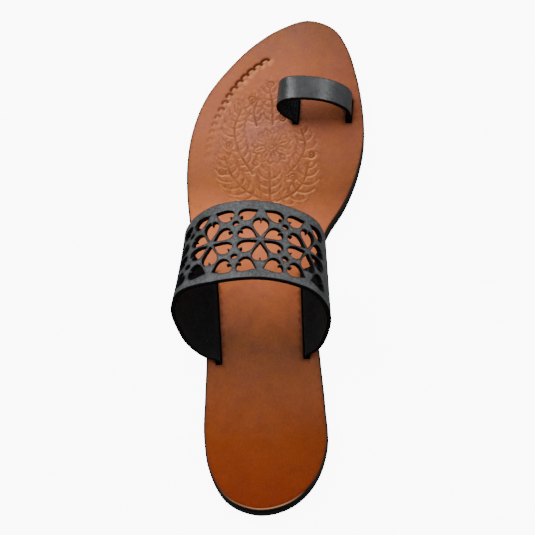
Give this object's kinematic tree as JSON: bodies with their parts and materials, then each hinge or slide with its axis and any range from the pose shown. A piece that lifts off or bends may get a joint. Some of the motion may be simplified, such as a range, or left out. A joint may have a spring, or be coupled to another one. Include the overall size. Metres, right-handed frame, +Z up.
{
  "type": "leather slide sandal",
  "caption": "Flat leather slide sandal with a tan footbed, a black rubber outsole, a wide strap cut with flowers and a big-toe loop.",
  "frame": {"origin": "middle of the sole's length and width, on the floor", "axes": "+Z up, +Y from heel to toe, +X towards the inner side of the left foot"},
  "size_m": [0.0874, 0.2538, 0.0649],
  "materials": {
    "tan_leather": "smooth vegetable-tanned leather, satin, redder at the heel",
    "black_rubber": "matt black-grey rubber",
    "black_leather": "smooth black leather with a grey sheen, black suede inside"
  },
  "bodies": {
    "root": {"footbed": "tan_leather", "outsole": "black_rubber", "instep_band": "black_leather", "toe_loop": "black_leather"}
  },
  "joints": []
}
